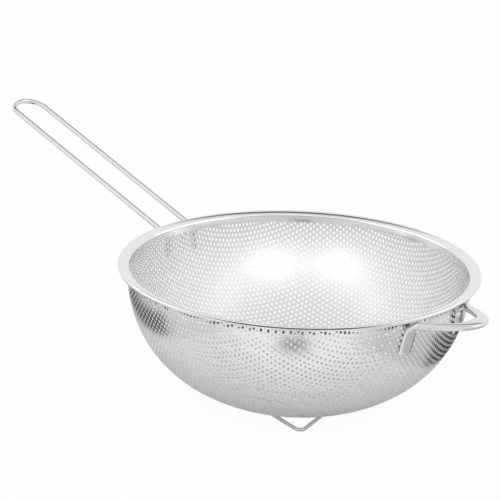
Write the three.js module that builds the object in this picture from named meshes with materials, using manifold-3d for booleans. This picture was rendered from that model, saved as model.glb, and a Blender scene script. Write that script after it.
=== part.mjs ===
// Stainless steel colander: a perforated drawn bowl in a smooth rim ring, a long bent-wire handle,
// a wire helper loop opposite it and a triangular wire base. Millimetres, +Z up.
// The long handle points along -X and the helper loop along +X. The origin lies on the standing
// surface under the middle of the whole object.
import * as THREE from 'three';
import { mergeVertices } from 'three/addons/utils/BufferGeometryUtils.js';
import Module from 'manifold-3d';

const wasm = await Module();
wasm.setup();

// Rim ring
const rimRadius = 120;
const flangeWidth = 7.8;
const flangeDip = 1.2;
const rimSheet = 0.7;
const hemRadius = 1.1;
const hemStartDegrees = 175;
const hemEndDegrees = 490;
const bendRadius = 1.3;
const bandHeight = 5.4;

// Bowl, measured on its outside below the plane of the rim's edge
const bowlSheet = 0.6;
const bowlDepth = 93.2;
const wallFullness = 2.39;
const floorFullness = 2.18;

// Holes of the bowl: the sheet's close rows, thinned to a plain grid of wide holes with the same open share
const holePitch = 27;
const holeDiameter = 16.4;
const holeSides = 8;
const holeRowsDegrees = 5.9;
const holeMargin = 2;
const drillLength = 6;

// Long handle
const handleWire = 3.7;
const handleSpan = 25.7;
const handleTiltDegrees = 18.3;
const handleOverhang = 170;
const handleFootLength = 12;
const handleFootWidth = 5.2;
const handleFootThickness = 2.4;
const handleBend = 5;

// Helper loop
const helperWire = 4.8;
const helperSpan = 51;
const helperTiltDegrees = 5;
const helperOverhang = 27.9;
const helperFootLength = 15;
const helperFootWidth = 6.4;
const helperFootThickness = 2.9;
const helperBend = 5;
const helperShoulder = 11.5;
const helperTaper = 7;
const helperNose = 14.5;
const helperNoseWidth = 6.4;
const helperTurnDegrees = 4.4;

// Wire base: an equilateral triangle with rounded corners
const baseWire = 2.4;
const baseCorner = 60.5;
const baseCornerBend = 3.8;
const baseTurnDegrees = -42;

// Clearance kept where one piece is welded against another
const seatGap = 0.3;

// Facets
const aroundSteps = 60;
const meridianSteps = 10;
const meridianProbe = 1e-4;
const meridianStep = 1 / 400;
const bendSteps = 5;
const loopSteps = 7;
const handleSides = 12;
const baseSides = 8;

const radians = THREE.MathUtils.degToRad;
const upright = new THREE.Vector3(0, 0, 1);

// The rim's band stands inside the bowl's wall, so the bowl's size follows from the rim's
const bandInnerRadius = rimRadius - flangeWidth;
const bandOuterRadius = bandInnerRadius + rimSheet;
const bowlRadius = bandOuterRadius + seatGap + bowlSheet;

// Outer meridian of the bowl, from the middle of its floor (0) to the plane of the rim's edge (1)
function bowlMeridian(share) {
  const angle = (share * Math.PI) / 2;
  const radius = bowlRadius * Math.sin(angle) ** (2 / wallFullness);
  const height = -bowlDepth * Math.max(Math.cos(angle), 0) ** (2 / floorFullness);
  return new THREE.Vector2(radius, height);
}

// Outer radius of the bowl at a height under the rim's edge
function wallRadius(height) {
  const cosine = Math.min(Math.max(-height / bowlDepth, 0), 1) ** (floorFullness / 2);
  return bowlRadius * Math.sqrt(1 - cosine ** 2) ** (2 / wallFullness);
}

// Share of the meridian at which the collar beside the rim's band begins
const collarShare = Math.acos((bandHeight / bowlDepth) ** (floorFullness / 2)) / (Math.PI / 2);

// Height of the bowl's underside above the lowest point of the bowl, at a radius
function floorRise(radius) {
  const sine = (radius / bowlRadius) ** (wallFullness / 2);
  return bowlDepth * (1 - Math.sqrt(1 - sine ** 2) ** (2 / floorFullness));
}

// The bowl rests on the middle of each side of the base
const baseInradius = baseCorner / 2;
const standHeight = baseWire + seatGap - floorRise(baseInradius);
const rimHeight = standHeight + bowlDepth;

// How far the handles reach from the bowl's axis
const handleReach = rimRadius + handleOverhang;
const helperReach = rimRadius + helperOverhang;

// The flange dips from its rolled edge to the crown of its bend into the band
const hemMiddle = rimRadius - hemRadius;
const crownHeight = hemRadius - flangeDip;

// Turns a profile of radius and height about the Z axis
function revolve(profile) {
  const geometry = new THREE.LatheGeometry(profile, aroundSteps);
  geometry.rotateX(Math.PI / 2);
  return closed(geometry);
}

// Keeps only positions, with shared corners joined
function closed(geometry) {
  geometry.deleteAttribute('normal');
  geometry.deleteAttribute('uv');
  const merged = mergeVertices(geometry, 1e-4);
  merged.computeVertexNormals();
  return merged;
}

// Points of an arc in a profile, from one angle to another in degrees
function arc(centre, radius, from, to, steps) {
  const points = [];
  for (let step = 0; step <= steps; step += 1) {
    const angle = radians(from + ((to - from) * step) / steps);
    points.push(new THREE.Vector2(centre.x + radius * Math.cos(angle), centre.y + radius * Math.sin(angle)));
  }
  return points;
}

// Inside of the bowl's sheet, square to its outer meridian
function bowlInside(share) {
  const outside = bowlMeridian(share);
  const along = bowlMeridian(share + meridianProbe).sub(bowlMeridian(Math.max(share - meridianProbe, 0)));
  along.normalize();
  return share === 0
    ? new THREE.Vector2(0, outside.y + bowlSheet)
    : new THREE.Vector2(outside.x - bowlSheet * along.y, outside.y + bowlSheet * along.x);
}

// Places where another piece is welded to the bowl: the feet of both handles and the sides of the base
function weldPlaces() {
  const places = [];
  const addFoot = (facingDegrees, span, footLength) => {
    for (const side of [-span / 2, span / 2]) {
      const height = -bandHeight - footLength / 2;
      const along = Math.sqrt(wallRadius(height) ** 2 - side ** 2);
      places.push(new THREE.Vector3(along, side, height).applyAxisAngle(upright, radians(facingDegrees)));
    }
  };
  addFoot(180, handleSpan, handleFootLength);
  addFoot(helperTurnDegrees, helperSpan, helperFootLength);
  for (let side = 0; side < 3; side += 1) {
    const facing = radians(baseTurnDegrees + 60 + 120 * side);
    const height = floorRise(baseInradius) - bowlDepth;
    places.push(new THREE.Vector3(baseInradius * Math.cos(facing), baseInradius * Math.sin(facing), height));
  }
  return places;
}

// Share of the bowl's meridian that lies a given length along it from the middle of the floor
function shareAtLength(length) {
  let share = 0;
  let travelled = 0;
  while (travelled < length && share < 1) {
    travelled += bowlMeridian(share).distanceTo(bowlMeridian(share + meridianStep));
    share += meridianStep;
  }
  return share;
}

// Cuts the rows of holes, square to the sheet, clear of the rim's band and of the welded places
function perforated(sheet) {
  const { Manifold, Mesh } = wasm;
  const welds = weldPlaces();
  const rows = Math.ceil(2 * rimRadius / holePitch);
  const drills = [];
  for (let row = -rows; row <= rows; row += 1) {
    for (let column = -rows; column <= rows; column += 1) {
      const flat = new THREE.Vector2(holePitch * (column + row / 2), (holePitch * row * Math.sqrt(3)) / 2);
      const facing = flat.angle() + radians(holeRowsDegrees);
      const share = shareAtLength(flat.length());
      const place = bowlMeridian(share);
      const inside = bowlInside(share);
      const at = new THREE.Vector3(place.x * Math.cos(facing), place.x * Math.sin(facing), place.y);
      const isClear = welds.every((weld) => weld.distanceTo(at) > holeDiameter / 2 + holeMargin);
      if (isClear && place.y < -bandHeight - holeDiameter / 2) {
        const outward = place.clone().sub(inside).normalize();
        const axis = new THREE.Vector3(outward.x * Math.cos(facing), outward.x * Math.sin(facing), outward.y);
        const turn = new THREE.Quaternion().setFromUnitVectors(upright, axis);
        const pose = new THREE.Matrix4().compose(at, turn, new THREE.Vector3(1, 1, 1));
        const radius = holeDiameter / 2;
        drills.push(Manifold.cylinder(drillLength, radius, radius, holeSides, true).transform(pose.toArray()));
      }
    }
  }
  const solid = new Manifold(new Mesh({
    numProp: 3,
    vertProperties: new Float32Array(sheet.attributes.position.array),
    triVerts: new Uint32Array(sheet.index.array),
  }));
  const cut = solid.subtract(Manifold.union(drills)).getMesh();
  const geometry = new THREE.BufferGeometry();
  geometry.setAttribute('position', new THREE.Float32BufferAttribute(cut.vertProperties, cut.numProp));
  geometry.setIndex([...cut.triVerts]);
  geometry.computeVertexNormals();
  return geometry;
}

// Drawn bowl: one even sheet, whose plain collar stands between the rim's band and flange
function bowlGeometry() {
  const outer = [];
  const inner = [];
  for (let step = 0; step <= meridianSteps; step += 1) {
    const share = (collarShare * step) / meridianSteps;
    outer.push(bowlMeridian(share));
    inner.push(bowlInside(share));
  }
  const edge = crownHeight - rimSheet - seatGap;
  outer.push(new THREE.Vector2(bowlRadius, edge));
  inner.push(new THREE.Vector2(bowlRadius - bowlSheet, edge));
  return perforated(revolve([...outer, ...inner.reverse()]));
}

// Rim ring: a band inside the wall, bent outwards into a flange with a rolled edge
function rimGeometry() {
  const bend = new THREE.Vector2(bandInnerRadius + bendRadius, crownHeight - bendRadius);
  const hem = new THREE.Vector2(hemMiddle, 0);
  const inside = bendRadius - rimSheet;
  const bandFoot = bowlInside(collarShare).x - seatGap;
  const profile = [
    new THREE.Vector2(bandFoot - rimSheet, -bandHeight),
    new THREE.Vector2(bandFoot, -bandHeight),
    ...arc(bend, inside, 180, 90, bendSteps),
    ...arc(hem, hemRadius, hemStartDegrees, hemEndDegrees, 2 * bendSteps),
    ...arc(bend, bendRadius, 90, 180, bendSteps),
  ];
  return revolve([...profile, profile[0].clone()]);
}

// Joins a row of sections into one solid wire. A station has its place, the direction of its width,
// and its width and thickness. A ring of stations closes on itself; otherwise the ends are capped.
function loft(stations, sides, isRing) {
  const count = stations.length;
  const overFlats = 1 / Math.cos(Math.PI / sides);
  const positions = [];
  stations.forEach((station, index) => {
    const before = stations[isRing ? (index + count - 1) % count : Math.max(index - 1, 0)];
    const after = stations[isRing ? (index + 1) % count : Math.min(index + 1, count - 1)];
    const along = after.at.clone().sub(before.at).normalize();
    const wide = station.wide.clone().addScaledVector(along, -station.wide.dot(along)).normalize();
    const deep = along.clone().cross(wide);
    for (let side = 0; side < sides; side += 1) {
      const angle = ((side + 0.5) * 2 * Math.PI) / sides;
      const corner = station.at.clone();
      corner.addScaledVector(wide, (station.width / 2) * overFlats * Math.cos(angle));
      corner.addScaledVector(deep, (station.thickness / 2) * overFlats * Math.sin(angle));
      positions.push(corner.x, corner.y, corner.z);
    }
  });
  const faces = [];
  const spans = isRing ? count : count - 1;
  for (let span = 0; span < spans; span += 1) {
    for (let side = 0; side < sides; side += 1) {
      const next = (side + 1) % sides;
      const here = span * sides;
      const there = ((span + 1) % count) * sides;
      faces.push(here + side, here + next, there + next, here + side, there + next, there + side);
    }
  }
  if (!isRing) {
    const last = (count - 1) * sides;
    for (let side = 1; side < sides - 1; side += 1) {
      faces.push(0, side + 1, side, last, last + side, last + side + 1);
    }
  }
  const geometry = new THREE.BufferGeometry();
  geometry.setAttribute('position', new THREE.Float32BufferAttribute(positions, 3));
  geometry.setIndex(faces);
  geometry.computeVertexNormals();
  return geometry;
}

// One leg of a wire handle that points along +X: a flattened foot on the bowl's wall, then a bend
// into the rising arm, which passes close under the rim's rolled edge
function weldedLeg({ wire, span, tiltDegrees, bend, footLength, footWidth, footThickness }) {
  const side = span / 2;
  const slope = radians(tiltDegrees);
  const wallAt = (height) => Math.sqrt(wallRadius(height) ** 2 - side ** 2);
  const hemAt = Math.sqrt(hemMiddle ** 2 - side ** 2);
  const underHem = -hemRadius - seatGap - wire / 2 / Math.cos(slope);
  const armHeight = (along) => underHem + (along - hemAt) * Math.tan(slope);
  const wallTop = wallAt(0);
  const offWall = seatGap + footThickness / 2 + (wire - footThickness) / 4;
  const turn = Math.PI / 2 - slope;
  const corner = new THREE.Vector2(wallTop + offWall, armHeight(wallTop + offWall));
  const tangent = bend * Math.tan(turn / 2);
  const footTop = corner.y - tangent;
  const wallDirection = new THREE.Vector3(-side, wallTop, 0).normalize();
  const acrossArm = new THREE.Vector3(0, 1, 0);
  const stations = [];
  const footSteps = 3;
  for (let step = 0; step < footSteps; step += 1) {
    const height = footTop - footLength * (1 - step / footSteps);
    const along = wallAt(height) + seatGap + footThickness / 2;
    stations.push({
      at: new THREE.Vector3(along, side, height),
      wide: wallDirection.clone(),
      width: footWidth,
      thickness: footThickness,
    });
  }
  const centre = new THREE.Vector2(corner.x + bend, footTop);
  for (let step = 0; step <= bendSteps; step += 1) {
    const share = step / bendSteps;
    const angle = Math.PI - share * turn;
    stations.push({
      at: new THREE.Vector3(centre.x + bend * Math.cos(angle), side, centre.y + bend * Math.sin(angle)),
      wide: wallDirection.clone().lerp(acrossArm, share).normalize(),
      width: THREE.MathUtils.lerp(footWidth, wire, share),
      thickness: THREE.MathUtils.lerp(footThickness, wire, share),
    });
  }
  return { stations, armHeight };
}

// A full handle from one leg and one half of its loop, with the mirrored other half
function mirroredWire(half) {
  const other = half.slice(0, -1).reverse().map((station) => ({
    at: new THREE.Vector3(station.at.x, -station.at.y, station.at.z),
    wide: new THREE.Vector3(station.wide.x, -station.wide.y, station.wide.z),
    width: station.width,
    thickness: station.thickness,
  }));
  return loft([...half, ...other], handleSides, false);
}

// Half of a loop along a plan curve, lifted to the rising arm, whose wire may widen towards its nose
function halfLoop(curve, steps, wire, noseWidth, armHeight, fromStep) {
  const stations = [];
  for (let step = fromStep; step <= steps; step += 1) {
    const share = step / steps;
    const plan = curve.getPoint(share);
    const heading = curve.getTangent(share);
    stations.push({
      at: new THREE.Vector3(plan.x, plan.y, armHeight(plan.x)),
      wide: new THREE.Vector3(-heading.y, heading.x, 0),
      width: THREE.MathUtils.lerp(wire, noseWidth, share),
      thickness: wire,
    });
  }
  return stations;
}

// Long handle: two straight parallel arms that join in a round end
function longHandleGeometry() {
  const leg = weldedLeg({
    wire: handleWire,
    span: handleSpan,
    tiltDegrees: handleTiltDegrees,
    bend: handleBend,
    footLength: handleFootLength,
    footWidth: handleFootWidth,
    footThickness: handleFootThickness,
  });
  const endRadius = handleSpan / 2;
  const endReach = endRadius * Math.cos(radians(handleTiltDegrees));
  const endMiddle = handleReach - handleWire / 2 - endReach;
  const roundEnd = new THREE.EllipseCurve(endMiddle, 0, endReach, endRadius, Math.PI / 2, 0, true);
  const arms = halfLoop(roundEnd, loopSteps, handleWire, handleWire, leg.armHeight, 0);
  return mirroredWire([...leg.stations, ...arms]).rotateZ(Math.PI);
}

// Helper loop: two short arms that close in a broad rounded nose
function helperGeometry() {
  const leg = weldedLeg({
    wire: helperWire,
    span: helperSpan,
    tiltDegrees: helperTiltDegrees,
    bend: helperBend,
    footLength: helperFootLength,
    footWidth: helperFootWidth,
    footThickness: helperFootThickness,
  });
  const start = leg.stations[leg.stations.length - 1].at;
  const nose = helperReach - helperNoseWidth / 2;
  const loop = new THREE.CubicBezierCurve(
    new THREE.Vector2(start.x, start.y),
    new THREE.Vector2(start.x + helperShoulder, start.y - helperTaper),
    new THREE.Vector2(nose, helperNose),
    new THREE.Vector2(nose, 0),
  );
  const arms = halfLoop(loop, loopSteps, helperWire, helperNoseWidth, leg.armHeight, 1);
  return mirroredWire([...leg.stations, ...arms]).rotateZ(radians(helperTurnDegrees));
}

// Wire base: one closed triangle that lies on the standing surface
function baseGeometry() {
  const stations = [];
  const bendMiddle = baseCorner - 2 * baseCornerBend;
  for (let corner = 0; corner < 3; corner += 1) {
    const facing = radians(baseTurnDegrees + 120 * corner);
    for (let step = 0; step <= bendSteps; step += 1) {
      const angle = facing + radians(120) * (step / bendSteps - 0.5);
      const outward = new THREE.Vector3(Math.cos(angle), Math.sin(angle), 0);
      const at = new THREE.Vector3(Math.cos(facing), Math.sin(facing), 0).multiplyScalar(bendMiddle);
      at.addScaledVector(outward, baseCornerBend);
      at.z = baseWire / 2;
      stations.push({ at, wide: outward.negate(), width: baseWire, thickness: baseWire });
    }
  }
  return loft(stations, baseSides, true);
}

// Polished steel in slightly different finishes
function steel(color, roughness) {
  return new THREE.MeshStandardMaterial({ color, roughness, metalness: 1 });
}

function part(name, geometry, material, height) {
  const mesh = new THREE.Mesh(geometry, material);
  mesh.name = name;
  mesh.position.z = height;
  return mesh;
}

const colander = new THREE.Group();
colander.add(
  part('bowl', bowlGeometry(), steel(0xc8cacc, 0.28), rimHeight),
  part('rim', rimGeometry(), steel(0xd6d8da, 0.16), rimHeight),
  part('long_handle', longHandleGeometry(), steel(0xd2d4d6, 0.18), rimHeight),
  part('helper_handle', helperGeometry(), steel(0xd2d4d6, 0.18), rimHeight),
  part('wire_base', baseGeometry(), steel(0xcdcfd1, 0.2), 0),
);

// The origin lies under the middle of the whole box
const wholeBox = new THREE.Box3().setFromObject(colander);
colander.position.x = -(wholeBox.min.x + wholeBox.max.x) / 2;

export default colander;
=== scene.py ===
# Stainless steel colander: a perforated drawn bowl in a polished rim ring, a long bent-wire handle, a
# wire helper loop opposite it and a triangular wire base. Metres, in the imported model's own frame.
from math import asin, atan2, ceil, cos, pi, radians, sin, sqrt, tan

import bmesh
import bpy
import numpy as np
from mathutils import Matrix, Vector
from mathutils.geometry import interpolate_bezier


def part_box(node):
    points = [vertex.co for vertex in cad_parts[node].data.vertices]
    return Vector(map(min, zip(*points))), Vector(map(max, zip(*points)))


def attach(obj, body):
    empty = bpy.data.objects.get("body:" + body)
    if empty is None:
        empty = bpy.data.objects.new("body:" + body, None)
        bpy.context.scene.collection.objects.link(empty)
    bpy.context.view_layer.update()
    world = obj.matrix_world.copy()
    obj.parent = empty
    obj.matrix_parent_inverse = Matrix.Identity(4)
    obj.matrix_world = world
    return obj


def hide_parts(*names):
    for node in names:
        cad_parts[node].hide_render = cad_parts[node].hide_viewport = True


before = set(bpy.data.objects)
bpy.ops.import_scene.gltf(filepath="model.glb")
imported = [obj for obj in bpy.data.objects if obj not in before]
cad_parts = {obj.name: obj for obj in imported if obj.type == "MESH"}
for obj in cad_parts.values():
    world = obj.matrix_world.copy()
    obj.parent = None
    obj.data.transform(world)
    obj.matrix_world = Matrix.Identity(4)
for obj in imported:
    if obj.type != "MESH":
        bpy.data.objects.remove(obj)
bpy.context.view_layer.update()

# Rim ring
FLANGE_WIDTH = 0.0078
FLANGE_DIP = 0.0012
RIM_SHEET = 0.0007
HEM_RADIUS = 0.0011
HEM_START = radians(175)
HEM_END = radians(490)
BEND_RADIUS = 0.0013
BAND_HEIGHT = 0.0054
RIM_STEPS = 240
HEM_STEPS = 22
CORNER_STEPS = 8

# Bowl's sheet and its holes, as punched in the flat blank before it is drawn
BOWL_SHEET = 0.0006
WALL_FULLNESS = 2.39
FLOOR_FULLNESS = 2.18
HOLE_PITCH = 0.00373
HOLE_DIAMETER = 0.0022
ROWS_TURN = radians(6)
WALL_STRETCH = 0.025
STRETCH_POWER = 3
FLOOR_SHARE = 0.71
MERIDIAN_STEPS = 4000
LEAST_REACH = 1e-9

# Long handle. A foot has a length, a width and a thickness.
HANDLE_WIRE = 0.0037
HANDLE_SPAN = 0.0257
HANDLE_TILT = radians(18.3)
HANDLE_FOOT = (0.012, 0.0052, 0.0024)
HANDLE_BEND = 0.005

# Helper loop, with the splay of its feet and the curve of its broad nose
HELPER_WIRE = 0.0048
HELPER_SPAN = 0.051
HELPER_TILT = radians(5)
HELPER_OVERHANG = 0.03
HELPER_TURN = radians(3.2)
HELPER_FOOT = (0.015, 0.0098, 0.0029)
HELPER_SPLAY = 0.0015
HELPER_BEND = 0.005
HELPER_SHOULDER = 0.0115
HELPER_TAPER = 0.007
HELPER_NOSE = 0.0145
HELPER_NOSE_WIDTH = 0.0118

# Wire base
BASE_WIRE = 0.0024
BASE_CORNER = 0.0605
BASE_CORNER_BEND = 0.0038
BASE_TURN = radians(-42)

# Clearance at the welds
SEAT_GAP = 0.0003

# Facets of the wires, the round edge of a foot, and the limits for shading and for corners that meet
WIRE_SIDES = 20
ARC_STEP = radians(6)
LOOP_STEPS = 18
FOOT_STEPS = 4
FOOT_EDGE = 0.0005
FOOT_EDGE_STEPS = 3
SHARP_ANGLE = radians(40)
MERGE_DISTANCE = 1e-6

# Finishes. The sheet is satin inside and brighter outside, each for a share of its thickness, and the
# rim's band behind the wall is darkened with painted shade.
SHEET_COLOUR = (0.83, 0.832, 0.835)
SHEET_ROUGHNESS = (0.42, 0.26)
SIDE_SHARE = 0.25
RING_COLOUR = (0.84, 0.842, 0.845)
RING_ROUGHNESS = 0.09
# Painted shade on the band's face behind the wall: how far its colour is darkened
BAND_PAINTED_SHADE = 0.85
WIRE_COLOUR = (0.8, 0.802, 0.805)
WIRE_ROUGHNESS = 0.2
GRAIN_DETAIL = 3
CLOUD_SCALE = 28
CLOUD_DETAIL = 2

# Camera of the photograph: its distance from the rim's middle, its direction and its aim beside that point
CAMERA_DISTANCE = 1.4
CAMERA_ELEVATION = radians(18.555)
CAMERA_HEADING = radians(44.2)
CAMERA_ROLL = radians(1.946)
CAMERA_AIM = (-0.03296, 0.00951)
CAMERA_FOCAL_PIXELS = 2116.9
PHOTO_WIDTH = 500
SENSOR_WIDTH = 36

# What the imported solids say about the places
rim_low, rim_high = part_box("rim")
bowl_low, bowl_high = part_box("bowl")
RIM_RADIUS = (rim_high.x - rim_low.x) / 2
RIM_CENTRE = Vector(((rim_low.x + rim_high.x) / 2, 0, rim_low.z + BAND_HEIGHT))
BOWL_RADIUS = (bowl_high.x - bowl_low.x) / 2
BOWL_DEPTH = RIM_CENTRE.z - bowl_low.z
BOWL_EDGE = bowl_high.z - RIM_CENTRE.z
HANDLE_REACH = RIM_CENTRE.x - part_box("long_handle")[0].x
HELPER_REACH = RIM_RADIUS + HELPER_OVERHANG
HEM_MIDDLE = RIM_RADIUS - HEM_RADIUS
CROWN = HEM_RADIUS - FLANGE_DIP

# Directions of a handle that points along +X
ACROSS = Vector((0, 1, 0))
UPRIGHT = Vector((0, 0, 1))


# Modelling by hand
def start_piece(name):
    """Takes the primitive that was just added, all of it selected, into edit mode."""
    piece = bpy.context.object
    piece.name = name
    piece.data.name = name
    bpy.ops.object.transform_apply(location=True, rotation=True, scale=True)
    bpy.ops.object.mode_set(mode="EDIT")
    bpy.ops.mesh.select_mode(type="VERT")
    bpy.ops.mesh.select_all(action="SELECT")
    return piece


def run(move):
    """Extrudes what is selected along a vector."""
    bpy.ops.mesh.extrude_region_move(TRANSFORM_OT_translate={"value": move})


def sweep(angle, centre, axis, steps):
    """Extrudes what is selected round an axis, by the right hand, in equal steps."""
    bpy.ops.mesh.spin(steps=steps, angle=-angle, center=centre, axis=axis)


def arc_steps(angle):
    """Number of facets for a bend."""
    return max(2, ceil(abs(angle) / ARC_STEP))


def selected_middle(piece):
    """Middle of the selected corners, in edit mode."""
    corners = [vertex.co for vertex in bmesh.from_edit_mesh(piece.data).verts if vertex.select]
    return sum(corners, Vector()) / len(corners)


def close_up():
    """Joins corners that meet, points the faces outwards and leaves edit mode."""
    bpy.ops.mesh.select_all(action="SELECT")
    bpy.ops.mesh.remove_doubles(threshold=MERGE_DISTANCE)
    bpy.ops.mesh.normals_make_consistent(inside=False)
    bpy.ops.object.mode_set(mode="OBJECT")


def choose(piece):
    """Selects one piece and makes it the active one."""
    bpy.ops.object.select_all(action="DESELECT")
    piece.select_set(True)
    bpy.context.view_layer.objects.active = piece


def modify(piece, kind, **settings):
    """Adds one modifier and applies it."""
    choose(piece)
    modifier = piece.modifiers.new(kind.title(), kind)
    for name, value in settings.items():
        setattr(modifier, name, value)
    bpy.ops.object.modifier_apply(modifier=modifier.name)


def finish_piece(piece, turn=0):
    """Sets a piece that was made round the rim's middle in its place, with smooth shading."""
    choose(piece)
    piece.location = RIM_CENTRE
    piece.rotation_euler.z = turn
    bpy.ops.object.transform_apply(location=True, rotation=True, scale=True)
    bpy.ops.object.shade_smooth_by_angle(angle=SHARP_ANGLE)
    return piece


# Bowl
def wall_radius(height):
    """Outer radius of the bowl at a height under the rim's edge."""
    cosine = min(max(-height / BOWL_DEPTH, 0), 1) ** (FLOOR_FULLNESS / 2)
    return BOWL_RADIUS * sqrt(1 - cosine**2) ** (2 / WALL_FULLNESS)


def bowl_meridian():
    """Radius, height and length along the bowl's outside, from the middle of its floor to its edge."""
    angle = np.linspace(0, pi / 2, MERIDIAN_STEPS)
    radius = BOWL_RADIUS * np.sin(angle) ** (2 / WALL_FULLNESS)
    height = -BOWL_DEPTH * np.abs(np.cos(angle)) ** (2 / FLOOR_FULLNESS)
    steps = np.hypot(np.diff(radius), np.diff(height))
    return radius, height, np.concatenate(([0], np.cumsum(steps)))


def blank_radius():
    """Radius of the flat blank, which the drawing stretches along the wall."""
    radius, height, length = bowl_meridian()
    return float(np.interp(BOWL_EDGE, height, length)) / (1 + WALL_STRETCH)


def add_web(place, turn, bar):
    """Adds the web between three holes: a triangle whose corners the holes cut off."""
    bpy.ops.mesh.primitive_circle_add(
        vertices=3, radius=HOLE_PITCH / sqrt(3) - bar, fill_type="NGON", location=place,
        rotation=(0, 0, turn),
    )


def sheet_unit(bar):
    """One repeat of the sheet: two webs between holes and the three bars that join them."""
    bpy.ops.object.select_all(action="DESELECT")
    add_web((0, 0, 0), 0, bar)
    unit = start_piece("bowl_wall")
    bpy.ops.mesh.bevel(offset=bar, affect="VERTICES")
    bpy.ops.mesh.select_mode(type="EDGE")
    for side in range(3):
        heading = radians(-90 + 120 * side)
        outward = Vector((cos(heading), sin(heading), 0))
        mesh = bmesh.from_edit_mesh(unit.data)
        bpy.ops.mesh.select_all(action="DESELECT")
        far = max(mesh.edges, key=lambda edge: (edge.verts[0].co + edge.verts[1].co).dot(outward))
        far.select_set(True)
        run(outward * bar)
    bpy.ops.mesh.select_mode(type="VERT")
    bpy.ops.mesh.select_all(action="DESELECT")
    add_web((HOLE_PITCH / 2, HOLE_PITCH / sqrt(3) / 2, 0), pi, bar)
    bpy.ops.mesh.bevel(offset=bar, affect="VERTICES")
    bpy.ops.object.mode_set(mode="OBJECT")
    return unit


def perforated_blank():
    """Flat sheet with holes in close rows. They have twelve sides and the area of round ones."""
    hole = HOLE_DIAMETER / 2 * sqrt(pi / 3)
    bar = 2 * hole * sin(pi / 12)
    blank = sheet_unit(bar)
    hole_step = Vector((HOLE_PITCH, 0, 0))
    row_step = Vector((HOLE_PITCH / 2, HOLE_PITCH * sqrt(3) / 2, 0))
    rows = ceil(2 * (blank_radius() + HOLE_PITCH) / row_step.y)
    for step in (hole_step, row_step):
        modify(
            blank, "ARRAY", count=rows, use_relative_offset=False, use_constant_offset=True,
            constant_offset_displace=step,
        )
    bpy.ops.object.mode_set(mode="EDIT")
    bpy.ops.mesh.select_all(action="SELECT")
    bpy.ops.mesh.remove_doubles(threshold=bar / 20)
    bpy.ops.object.mode_set(mode="OBJECT")
    middle = (rows - 1) / 2 * (row_step + hole_step)
    blank.matrix_world = Matrix.Rotation(ROWS_TURN, 4, "Z") @ Matrix.Translation(-middle)
    bpy.ops.object.transform_apply(location=True, rotation=True, scale=True)
    return blank


def select_faces(piece, chosen):
    """Selects the faces of a piece that an array of flags names, and stays in edit mode."""
    bpy.ops.object.mode_set(mode="EDIT")
    bpy.ops.mesh.select_mode(type="FACE")
    bpy.ops.mesh.select_all(action="DESELECT")
    bpy.ops.object.mode_set(mode="OBJECT")
    piece.data.polygons.foreach_set("select", chosen)
    bpy.ops.object.mode_set(mode="EDIT")


def face_reach(piece):
    """Distance of each face's middle from the middle of the blank."""
    middles = np.empty(len(piece.data.polygons) * 3)
    piece.data.polygons.foreach_get("center", middles)
    return np.hypot(middles[0::3], middles[1::3])


def press(blank):
    """Draws the flat blank into the bowl. Rows close up round the wall and open along it."""
    places = np.empty(len(blank.data.vertices) * 3)
    blank.data.vertices.foreach_get("co", places)
    places = places.reshape(-1, 3)
    reach = np.hypot(places[:, 0], places[:, 1])
    radius, height, length = bowl_meridian()
    edge = blank_radius()
    flat = np.minimum(reach, edge)
    drawn = flat * (1 + WALL_STRETCH * (flat / edge) ** STRETCH_POWER)
    widen = np.interp(drawn, length, radius) / np.maximum(reach, LEAST_REACH)
    places[:, :2] *= widen[:, None]
    places[:, 2] = np.interp(drawn, length, height)
    blank.data.vertices.foreach_set("co", places.ravel())
    blank.data.update()


def bowl():
    """The drawn sheet, in two pieces because of its number of holes: a floor and a wall."""
    wall = perforated_blank()
    choose(wall)
    select_faces(wall, face_reach(wall) > blank_radius())
    bpy.ops.mesh.delete(type="FACE")
    bpy.ops.object.mode_set(mode="OBJECT")
    select_faces(wall, face_reach(wall) < FLOOR_SHARE * blank_radius())
    bpy.ops.mesh.separate(type="SELECTED")
    bpy.ops.object.mode_set(mode="OBJECT")
    floor = next(piece for piece in bpy.context.selected_objects if piece != wall)
    floor.name = "bowl_floor"
    floor.data.name = "bowl_floor"
    for piece in (floor, wall):
        choose(piece)
        press(piece)
        bpy.ops.object.mode_set(mode="EDIT")
        bpy.ops.mesh.select_all(action="SELECT")
        bpy.ops.mesh.flip_normals()
        bpy.ops.object.mode_set(mode="OBJECT")
        modify(piece, "SOLIDIFY", thickness=BOWL_SHEET, offset=-1)
        finish_piece(piece)
    return floor, wall


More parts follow.
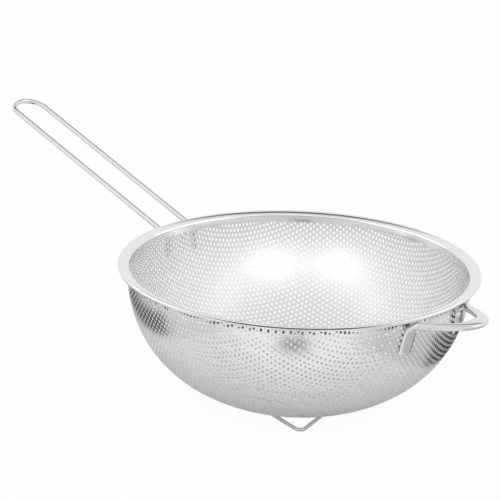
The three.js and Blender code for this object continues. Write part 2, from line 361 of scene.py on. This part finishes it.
# Rim ring
def rim_ring():
    """A band inside the wall, bent outwards into a flange that rises to its rolled edge."""
    bend = Vector((RIM_RADIUS - FLANGE_WIDTH + BEND_RADIUS, 0, CROWN - BEND_RADIUS))
    hem = Vector((HEM_MIDDLE, 0, 0))
    inside = BEND_RADIUS - RIM_SHEET
    foot = Vector((wall_radius(-BAND_HEIGHT) - BOWL_SHEET - SEAT_GAP, 0, -BAND_HEIGHT))
    thick = Vector((RIM_SHEET, 0, 0))
    hem_start = hem + HEM_RADIUS * Vector((cos(HEM_START), 0, sin(HEM_START)))
    hem_end = hem + HEM_RADIUS * Vector((cos(HEM_END), 0, sin(HEM_END)))
    around = -ACROSS
    bpy.ops.object.select_all(action="DESELECT")
    bpy.ops.mesh.primitive_plane_add(size=RIM_SHEET, location=foot - thick)
    ring = start_piece("rim_ring")
    bpy.ops.mesh.merge(type="CENTER")
    run(thick)
    run(bend - Vector((inside, 0, 0)) - foot)
    sweep(-pi / 2, bend, around, CORNER_STEPS)
    run(hem_start - bend - inside * UPRIGHT)
    sweep(HEM_END - HEM_START, hem, around, HEM_STEPS)
    run(bend + BEND_RADIUS * UPRIGHT - hem_end)
    sweep(pi / 2, bend, around, CORNER_STEPS)
    run(foot - thick - bend + Vector((BEND_RADIUS, 0, 0)))
    bpy.ops.mesh.select_all(action="SELECT")
    sweep(2 * pi, (0, 0, 0), UPRIGHT, RIM_STEPS)
    close_up()
    return finish_piece(ring)


# Wire handles
def squeeze(piece, axes, width, thickness):
    """Scales the selected end of a wire across it, along the second and the third of the given axes."""
    bpy.ops.transform.resize(
        value=(1, width, thickness), orient_type="GLOBAL", orient_matrix=axes.transposed(),
        orient_matrix_type="GLOBAL", center_override=selected_middle(piece),
    )


def turn_end(piece, axis, angle):
    """Turns the selected end of a wire on the spot, by the right hand, in three plain turns."""
    middle = selected_middle(piece)
    for name, turn in zip("XYZ", Matrix.Rotation(angle, 3, axis).to_euler()):
        bpy.ops.transform.rotate(value=-turn, orient_axis=name, orient_type="GLOBAL", center_override=middle)


def headings(points):
    """Direction of a path's wire at each point, from the first one, which runs along Y, to the last one,
    which runs along -X."""
    legs = [after - before for before, after in zip(points, points[1:])]
    middle = [atan2(-(leg + following).x, (leg + following).y) for leg, following in zip(legs, legs[1:])]
    return [0, *middle, pi / 2]


def wall_at(height, beside):
    """How far the wall reaches along X, at a height and at a distance beside the middle."""
    return sqrt(wall_radius(height) ** 2 - beside**2)


def run_loop(piece, points, arm, wire, nose_width):
    """Runs the wire from its nose along a path in the handle's own plane, and narrows it on the way."""
    above = arm.cross(ACROSS)
    squeeze(piece, Matrix((ACROSS, arm, above)), nose_width / wire, 1)
    ways = headings(points)
    last = len(points) - 1
    widths = [wire + (nose_width - wire) * (1 - step / last) ** 2 for step in range(last + 1)]
    for step in range(1, last + 1):
        leg = points[step] - points[step - 1]
        run(arm * leg.x + ACROSS * leg.y)
        way = ways[step]
        turn_end(piece, above, way - ways[step - 1])
        axes = Matrix((ACROSS * cos(way) - arm * sin(way), arm * cos(way) + ACROSS * sin(way), above))
        squeeze(piece, axes, widths[step] / widths[step - 1], 1)


def bend_down(piece, centre, arm, fall, facing, width, thickness):
    """Bends the arm down to the wall, and flattens the wire and turns it to the wall on the way."""
    steps = arc_steps(fall)
    fall_step = Matrix.Rotation(fall / steps, 3, -ACROSS)
    axes = [arm, ACROSS, arm.cross(ACROSS)]
    for _ in range(steps):
        sweep(fall / steps, centre, -ACROSS, 1)
        axes = [fall_step @ axis for axis in axes]
        squeeze(piece, Matrix(axes), width ** (1 / steps), thickness ** (1 / steps))
        facing_step = Matrix.Rotation(facing / steps, 3, axes[0])
        turn_end(piece, axes[0], facing / steps)
        axes = [facing_step @ axis for axis in axes]


def run_foot(piece, length, thickness, side, splay, facing):
    """Runs the flat end down the wall, at the weld's clearance, and closes it with a round edge."""
    top = selected_middle(piece).z
    for step in range(FOOT_STEPS):
        share = (step + 1) / FOOT_STEPS
        height = top - length * share
        beside = side + splay * share
        turned = asin(beside / wall_radius(height))
        off_axis = wall_at(height, beside) + (SEAT_GAP + thickness / 2) / cos(turned)
        run(Vector((off_axis, beside, height)) - selected_middle(piece))
        turn_end(piece, UPRIGHT, turned - facing)
        facing = turned
    bpy.ops.mesh.edge_face_add()
    bpy.ops.mesh.bevel(offset=FOOT_EDGE, segments=FOOT_EDGE_STEPS, affect="EDGES")


def wire_handle(name, wire, nose_width, span, tilt, reach, path, bend, foot, splay, turn):
    """A bent wire that points along +X. One half is made, from the nose to the foot, and is mirrored."""
    foot_length, foot_width, foot_thickness = foot
    side = span / 2
    arm = Vector((cos(tilt), 0, sin(tilt)))
    above = arm.cross(ACROSS)
    off_wall = SEAT_GAP + foot_thickness / 2 + (wire - foot_thickness) / 4
    under_hem = HEM_RADIUS + SEAT_GAP + wire / 2 / cos(tilt)
    hem_at = sqrt(HEM_MIDDLE**2 - side**2)
    corner = Vector((wall_at(0, side) + off_wall, 0, 0))
    corner.z = (corner.x - hem_at) * tan(tilt) - under_hem
    fall = pi / 2 - tilt
    shift = bend * tan(fall / 2)
    length = (reach - nose_width / 2 - corner.x) / cos(tilt) - shift
    nose = corner + arm * (shift + length)
    bpy.ops.object.select_all(action="DESELECT")
    bpy.ops.mesh.primitive_circle_add(
        vertices=WIRE_SIDES, radius=wire / 2, location=nose, rotation=(pi / 2, 0, 0)
    )
    piece = start_piece(name)
    run_loop(piece, path(length, side), arm, wire, nose_width)
    bend_start = corner + ACROSS * side + arm * shift
    run(bend_start - selected_middle(piece))
    facing = asin(side / wall_radius(0))
    bend_centre = bend_start - above * bend
    bend_down(piece, bend_centre, arm, fall, facing, foot_width / wire, foot_thickness / wire)
    run_foot(piece, foot_length, foot_thickness, side, splay, facing)
    close_up()
    modify(piece, "MIRROR", use_axis=(False, True, False), merge_threshold=MERGE_DISTANCE)
    return finish_piece(piece, turn)


def round_end(length, side):
    """Quarter circle from the nose to the start of a straight arm."""
    angles = [pi / 2 * step / LOOP_STEPS for step in range(LOOP_STEPS + 1)]
    return [Vector((side * (cos(angle) - 1), side * sin(angle))) for angle in angles]


def broad_nose(length, side):
    """Curve from the nose round a shoulder to the start of the bend."""
    return interpolate_bezier(
        Vector((0, 0)), Vector((0, HELPER_NOSE)), Vector((HELPER_SHOULDER - length, side - HELPER_TAPER)),
        Vector((-length, side)), LOOP_STEPS + 1,
    )


def long_handle():
    """Two straight parallel arms that join in a round end."""
    return wire_handle(
        "handle_wire", wire=HANDLE_WIRE, nose_width=HANDLE_WIRE, span=HANDLE_SPAN, tilt=HANDLE_TILT,
        reach=HANDLE_REACH, path=round_end, bend=HANDLE_BEND, foot=HANDLE_FOOT, splay=0, turn=pi,
    )


def helper_loop():
    """Two short arms that close in a broad nose, where the wire is wider."""
    return wire_handle(
        "helper_wire", wire=HELPER_WIRE, nose_width=HELPER_NOSE_WIDTH, span=HELPER_SPAN, tilt=HELPER_TILT,
        reach=HELPER_REACH, path=broad_nose, bend=HELPER_BEND, foot=HELPER_FOOT, splay=HELPER_SPLAY,
        turn=HELPER_TURN,
    )


# Wire base
def wire_base():
    """One closed triangle with rounded corners, which lies on the standing surface."""
    level = BASE_WIRE / 2 - RIM_CENTRE.z
    bend_reach = BASE_CORNER - 2 * BASE_CORNER_BEND
    straight = bend_reach * sqrt(3)
    place = Vector((BASE_CORNER / 2, -straight / 2, level))
    bpy.ops.object.select_all(action="DESELECT")
    bpy.ops.mesh.primitive_circle_add(
        vertices=WIRE_SIDES, radius=BASE_WIRE / 2, location=place, rotation=(pi / 2, 0, 0)
    )
    piece = start_piece("base_wire")
    for side in range(3):
        heading = radians(120 * side)
        run(straight * Vector((-sin(heading), cos(heading), 0)))
        corner = heading + radians(60)
        centre = Vector((bend_reach * cos(corner), bend_reach * sin(corner), level))
        sweep(radians(120), centre, UPRIGHT, arc_steps(radians(120)))
    close_up()
    return finish_piece(piece, BASE_TURN - radians(60))


# Materials
class Shade:
    """One socket of a shader tree. Arithmetic on it adds Math nodes."""

    def __init__(self, tree, socket=None):
        self.tree = tree
        self.socket = socket

    def node(self, kind, settings=None, inputs=None):
        """Adds a node with its settings and its sockets' values or links, and gives its first output."""
        made = self.tree.nodes.new(kind)
        for name, value in (settings or {}).items():
            setattr(made, name, value)
        for name, value in (inputs or {}).items():
            if isinstance(value, Shade):
                self.tree.links.new(value.socket, made.inputs[name])
            else:
                made.inputs[name].default_value = value
        return Shade(self.tree, made.outputs[0] if made.outputs else None)

    def output(self, name):
        """Another output of this socket's node."""
        return Shade(self.tree, self.socket.node.outputs[name])

    def math(self, operation, first, second):
        """Adds a Math node for two values or sockets."""
        return self.node("ShaderNodeMath", {"operation": operation}, {0: first, 1: second})

    def __add__(self, other):
        return self.math("ADD", self, other)

    def __sub__(self, other):
        return self.math("SUBTRACT", self, other)

    def __rsub__(self, other):
        return self.math("SUBTRACT", other, self)

    def __mul__(self, other):
        return self.math("MULTIPLY", self, other)

    def ramp(self, low, high, start=0.0, end=1.0):
        """Runs smoothly from start to end as this value goes from low to high."""
        return self.node(
            "ShaderNodeMapRange", {"interpolation_type": "SMOOTHSTEP"},
            {"Value": self, "From Min": low, "From Max": high, "To Min": start, "To Max": end},
        )


def new_material(name):
    """An empty material and the wrapped tree to fill."""
    material = bpy.data.materials.new(name)
    material.use_nodes = True
    material.node_tree.nodes.clear()
    return material, Shade(material.node_tree)


def steel(name, colour, tone_depth, roughness, gloss_depth, grain_vector, grain_scale, grain_height,
          painted_shade=None):
    """Polished steel: a fine grain in its own direction, slow changes of tone and gloss, and painted shade.
    The roughness is a number or a function of the place."""
    material, tree = new_material(name)
    place = tree.node("ShaderNodeTexCoord").output("Object")
    grain_place = tree.node(
        "ShaderNodeVectorMath", {"operation": "MULTIPLY"}, {0: grain_vector(tree, place), 1: grain_scale}
    )
    grain = tree.node(
        "ShaderNodeTexNoise", None, {"Vector": grain_place, "Scale": 1, "Detail": GRAIN_DETAIL}
    )
    cloud = tree.node(
        "ShaderNodeTexNoise", None, {"Vector": place, "Scale": CLOUD_SCALE, "Detail": CLOUD_DETAIL}
    )
    tone = (cloud - 0.5) * tone_depth + 1.0
    # Painted shade: the tone is darkened where its mask is set
    if painted_shade:
        tone = tone * (1 - painted_shade(tree, place))
    tint = tree.node("ShaderNodeVectorMath", {"operation": "SCALE"}, {0: colour, "Scale": tone})
    polish = roughness(tree, place) if callable(roughness) else roughness
    gloss = (grain - 0.5) * gloss_depth + (cloud - 0.5) * gloss_depth + polish
    relief = tree.node("ShaderNodeBump", None, {"Height": grain, "Strength": 1.0, "Distance": grain_height})
    surface = tree.node(
        "ShaderNodeBsdfPrincipled", None,
        {"Base Color": tint, "Metallic": 1.0, "Roughness": gloss, "Normal": relief},
    )
    tree.node("ShaderNodeOutputMaterial", None, {"Surface": surface})
    return material


def along_place(tree, place):
    """Grain that follows the object's own axes."""
    return place


def radius_and_height(tree, place):
    """Distance from the bowl's axis, and height over the rim's middle."""
    centred = tree.node("ShaderNodeVectorMath", {"operation": "SUBTRACT"}, {0: place, 1: RIM_CENTRE})
    parts = tree.node("ShaderNodeSeparateXYZ", None, {"Vector": centred})
    x, y = parts.output("X"), parts.output("Y")
    return tree.math("POWER", x * x + y * y, 0.5), parts.output("Z")


def round_the_bowl(tree, place):
    """Grain that runs round the bowl's axis: radius, height and nothing else."""
    radius, height = radius_and_height(tree, place)
    return tree.node("ShaderNodeCombineXYZ", None, {"X": radius, "Y": height})


def painted_band_shade(tree, place):
    """The band's outer face, which only shows through the wall's holes, darkened with painted shade."""
    radius, height = radius_and_height(tree, place)
    middle = BOWL_RADIUS - BOWL_SHEET - SEAT_GAP - RIM_SHEET / 2
    outside = radius.ramp(middle - RIM_SHEET / 4, middle + RIM_SHEET / 4)
    return outside * height.ramp(-2 * RIM_SHEET, -RIM_SHEET, BAND_PAINTED_SHADE, 0.0)


def sheet_polish(tree, place):
    """Roughness of the bowl's two sides, which the form of its outside tells apart through the sheet."""
    radius, height = radius_and_height(tree, place)
    level = tree.math("POWER", radius * (1 / BOWL_RADIUS), WALL_FULLNESS)
    depth = tree.math("MAXIMUM", height * (-1 / BOWL_DEPTH), 0.0)
    level = level + tree.math("POWER", depth, FLOOR_FULLNESS)
    through = WALL_FULLNESS * BOWL_SHEET / BOWL_RADIUS
    return level.ramp(1 - through * (1 - SIDE_SHARE), 1 - through * SIDE_SHARE, *SHEET_ROUGHNESS)


def perforated_sheet():
    """The bowl's sheet, with a coarser grain."""
    return steel(
        "perforated_sheet", SHEET_COLOUR, tone_depth=0.06, roughness=sheet_polish, gloss_depth=0.06,
        grain_vector=along_place, grain_scale=(900, 900, 900), grain_height=2e-6,
    )


def polished_steel():
    """The rim, polished round the bowl's axis."""
    # The band's face behind the wall gets painted shade.
    return steel(
        "polished_steel", RING_COLOUR, tone_depth=0.04, roughness=RING_ROUGHNESS, gloss_depth=0.04,
        grain_vector=round_the_bowl, grain_scale=(2500, 2500, 1), grain_height=1e-6, painted_shade=painted_band_shade,
    )


def steel_wire():
    """The bent wires, with a very fine grain."""
    return steel(
        "steel_wire", WIRE_COLOUR, tone_depth=0.05, roughness=WIRE_ROUGHNESS, gloss_depth=0.02,
        grain_vector=along_place, grain_scale=(1500, 1500, 1500), grain_height=1e-7,
    )


# Studio: a pale floor, dark cards beside the bowl that only reflections show, and soft light
WHITE = (1, 1, 1, 1)
FLOOR_SIZE = 3.0
FLOOR_COLOUR = (0.68, 0.68, 0.68, 1)
FLOOR_WHITE = 0.96

# Painted light pool that the metal sees on the floor before the bowl: its place from the camera and its fade
PAINTED_POOL_PLACE = (-0.005, -0.275)
PAINTED_POOL_REACH = (0.09, 0.19)

# Where the metal sees white in the room: below a height behind the bowl, at both sides, and a low horizon
BACKDROP_TOP = (0.6, 0.78)
BACKDROP_SIDES = (-0.4, 0.1)
WALLS = (0.19, 0.58)
HORIZON = (0.3, 0.45)
HORIZON_SHARE = 0.55

# Strength of that white, of the room beside it, and of the light on all that isn't metal
WHITE_LIGHT = 0.93
ROOM_LIGHT = 0.1
PLAIN_LIGHT = 0.9

# Cards on the floor: right of the middle, away from the camera, width, depth and shade
CARDS = (
    (0.168, 0.045, 0.094, 0.15, 0.03),
    (0.19, -0.13, 0.13, 0.2, 0.45),
    (-0.213, 0.06, 0.09, 0.22, 0.03),
    (-0.22, -0.13, 0.1, 0.18, 0.5),
    (-0.01, -0.245, 0.06, 0.07, 0.03),
)
CARD_HEIGHT = 0.002

# Lamps. A softbox has a heading from the camera, an elevation and a power.
SOFTBOXES = ((radians(20), radians(23.5), 1.1), (radians(-32), radians(19.5), 0.95))
SOFTBOX_DISTANCE = 1.0
SOFTBOX_SIZE = (0.26, 0.26)
FILL_ELEVATION = radians(66)
FILL_DISTANCE = 1.2
FILL_SIZE = (3.0, 3.0)
FILL_POWER = 19
RING_LIGHT_PLACE = (0.075, 0.13)
RING_LIGHT_SIZE = (0.4, 0.25)
RING_LIGHT_POWER = 0.3


def from_camera(right, away):
    """A direction on the floor, given to the right of the photograph's camera and away from it."""
    turn = Matrix.Rotation(CAMERA_HEADING, 3, "Z")
    return turn @ Vector((right, away, 0))


def pale_floor():
    """A floor that the camera sees nearly white, with the bowl's shadow, and metal sees a painted light
    pool.
    """
    bpy.ops.object.select_all(action="DESELECT")
    bpy.ops.mesh.primitive_plane_add(size=FLOOR_SIZE, location=(RIM_CENTRE.x, 0, 0))
    floor = bpy.context.object
    floor.name = "pale_floor"
    material, tree = new_material("pale_floor")
    path = tree.node("ShaderNodeLightPath")
    lit = tree.node("ShaderNodeBsdfDiffuse", None, {"Color": FLOOR_COLOUR})
    white = tree.node("ShaderNodeEmission", None, {"Color": WHITE, "Strength": 1.0})
    place = tree.node("ShaderNodeTexCoord").output("Object")
    painted_pool_middle = from_camera(*PAINTED_POOL_PLACE)
    distance = tree.node("ShaderNodeVectorMath", {"operation": "DISTANCE"}, {0: place, 1: painted_pool_middle})
    # Painted light pool: white that only the metal sees, fading out from its middle
    painted_light_pool = distance.output("Value").ramp(*PAINTED_POOL_REACH, 1.0, 0.0)
    share = path.output("Is Camera Ray") * FLOOR_WHITE + path.output("Is Glossy Ray") * painted_light_pool
    surface = tree.node("ShaderNodeMixShader", None, {0: share, 1: lit, 2: white})
    tree.node("ShaderNodeOutputMaterial", None, {"Surface": surface})
    floor.data.materials.append(material)


def dark_cards():
    """Cards just over the floor that shade what the metal reflects, and that nothing else sees."""
    for number, (right, away, width, depth, shade) in enumerate(CARDS):
        name = f"dark_card_{number + 1}"
        material, tree = new_material(name)
        lit = tree.node("ShaderNodeBsdfDiffuse", None, {"Color": (shade, shade, shade, 1)})
        tree.node("ShaderNodeOutputMaterial", None, {"Surface": lit})
        bpy.ops.object.select_all(action="DESELECT")
        bpy.ops.mesh.primitive_plane_add(size=1)
        card = bpy.context.object
        card.name = name
        card.scale = (width, depth, 1)
        card.rotation_euler.z = CAMERA_HEADING
        card.location = Vector((RIM_CENTRE.x, 0, CARD_HEIGHT)) + from_camera(right, away)
        card.data.materials.append(material)
        card.visible_camera = False
        card.visible_shadow = False
        card.visible_diffuse = False


def studio_world():
    """White all round. Metal sees a white backdrop behind the bowl and a dim room."""
    world = bpy.data.worlds.new("studio")
    bpy.context.scene.world = world
    world.use_nodes = True
    world.node_tree.nodes.clear()
    tree = Shade(world.node_tree)
    path = tree.node("ShaderNodeLightPath")
    direction = tree.node("ShaderNodeTexCoord").output("Generated")
    parts = tree.node("ShaderNodeSeparateXYZ", None, {"Vector": direction})
    height = parts.output("Z")
    away = parts.output("Y") * cos(CAMERA_HEADING) - parts.output("X") * sin(CAMERA_HEADING)
    right = parts.output("X") * cos(CAMERA_HEADING) + parts.output("Y") * sin(CAMERA_HEADING)
    backdrop = height.ramp(*BACKDROP_TOP, 1.0, 0.0) * away.ramp(*BACKDROP_SIDES)
    horizon = height.ramp(*HORIZON, HORIZON_SHARE, 0.0)
    white = tree.math("MAXIMUM", tree.math("MAXIMUM", backdrop, horizon), (right * right).ramp(*WALLS))
    glossy = white * (WHITE_LIGHT - ROOM_LIGHT) + ROOM_LIGHT
    camera_ray = path.output("Is Camera Ray")
    glossy_ray = path.output("Is Glossy Ray")
    strength = camera_ray + (1 - camera_ray) * (glossy_ray * glossy + (1 - glossy_ray) * PLAIN_LIGHT)
    light = tree.node("ShaderNodeBackground", None, {"Color": WHITE, "Strength": strength})
    tree.node("ShaderNodeOutputWorld", None, {"Surface": light})


def soft_lamp(name, place, facing, size, power):
    """A softbox of a width and a height at a place from the rim's middle, with its back to a direction."""
    lamp = bpy.data.lights.new(name, "AREA")
    lamp.shape = "RECTANGLE"
    lamp.size, lamp.size_y = size
    lamp.energy = power
    holder = bpy.data.objects.new(name, lamp)
    bpy.context.scene.collection.objects.link(holder)
    holder.location = RIM_CENTRE + place
    holder.rotation_euler = facing.to_track_quat("Z", "Y").to_euler()
    return holder


def front_lamp(name, heading, elevation, distance, size, power):
    """A softbox on the camera's side, at a heading from it, which faces the bowl."""
    towards = from_camera(sin(heading), -cos(heading)) * cos(elevation)
    towards.z = sin(elevation)
    return soft_lamp(name, towards * distance, towards, size, power)


def link_light(lamp, pieces, state):
    """Lets a lamp light some pieces alone (INCLUDE) or all but these (EXCLUDE)."""
    linked = bpy.data.collections.new(f"linked_to_{lamp.name}")
    for piece in pieces:
        linked.objects.link(piece)
    for entry in linked.collection_objects:
        entry.light_linking.link_state = state
    lamp.light_linking.receiver_collection = linked


def light_only(lamp, pieces):
    """Lets a lamp light some pieces and nothing else, without bounces."""
    link_light(lamp, pieces, "INCLUDE")
    lamp.data.cycles.max_bounces = 0


def studio_lamps(sheets, rim):
    """Softboxes beside the camera for the sheet, a broad light above for all but the rim, and one over the
    bowl for the rim."""
    for number, (heading, elevation, power) in enumerate(SOFTBOXES):
        name = f"softbox_{number + 1}"
        softbox = front_lamp(name, heading, elevation, SOFTBOX_DISTANCE, SOFTBOX_SIZE, power)
        light_only(softbox, sheets)
    fill = front_lamp("fill_light", 0, FILL_ELEVATION, FILL_DISTANCE, FILL_SIZE, FILL_POWER)
    link_light(fill, [rim], "EXCLUDE")
    away, above = RING_LIGHT_PLACE
    place = from_camera(0, away) + UPRIGHT * above
    ring_light = soft_lamp("ring_light", place, UPRIGHT, RING_LIGHT_SIZE, RING_LIGHT_POWER)
    ring_light.rotation_euler.z = CAMERA_HEADING
    light_only(ring_light, [rim])


def photo_camera():
    """The camera that was fitted to the rim's edges and the bowl's outline."""
    right = from_camera(1, 0)
    up = from_camera(0, sin(CAMERA_ELEVATION)) + UPRIGHT * cos(CAMERA_ELEVATION)
    back = right.cross(up)
    aim_right, aim_up = CAMERA_AIM
    place = RIM_CENTRE + right * aim_right + up * aim_up + back * CAMERA_DISTANCE
    side = right * cos(CAMERA_ROLL) + up * sin(CAMERA_ROLL)
    top = up * cos(CAMERA_ROLL) - right * sin(CAMERA_ROLL)
    camera = bpy.data.cameras.new("photo_camera")
    camera.sensor_width = SENSOR_WIDTH
    camera.lens = CAMERA_FOCAL_PIXELS / PHOTO_WIDTH * SENSOR_WIDTH
    holder = bpy.data.objects.new("photo_camera", camera)
    bpy.context.scene.collection.objects.link(holder)
    axes = Matrix((side, top, back)).transposed()
    holder.matrix_world = Matrix.Translation(place) @ axes.to_4x4()
    bpy.context.scene.camera = holder


# The dressed colander
def dress(piece, material, node):
    """Gives a piece its material, hangs it on the body that carries it, and hides the solid it stands for.
    """
    piece.data.materials.clear()
    piece.data.materials.append(material)
    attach(piece, "root")
    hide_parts(node)


photo_camera()
sheet_finish = perforated_sheet()
ring_finish = polished_steel()
wire_finish = steel_wire()
sheets = bowl()
for sheet in sheets:
    dress(sheet, sheet_finish, "bowl")
rim = rim_ring()
dress(rim, ring_finish, "rim")
wires = {"long_handle": long_handle(), "helper_handle": helper_loop(), "wire_base": wire_base()}
for node, wire in wires.items():
    dress(wire, wire_finish, node)
pale_floor()
dark_cards()
studio_world()
studio_lamps(sheets, rim)
bpy.context.scene.view_settings.view_transform = "Standard"
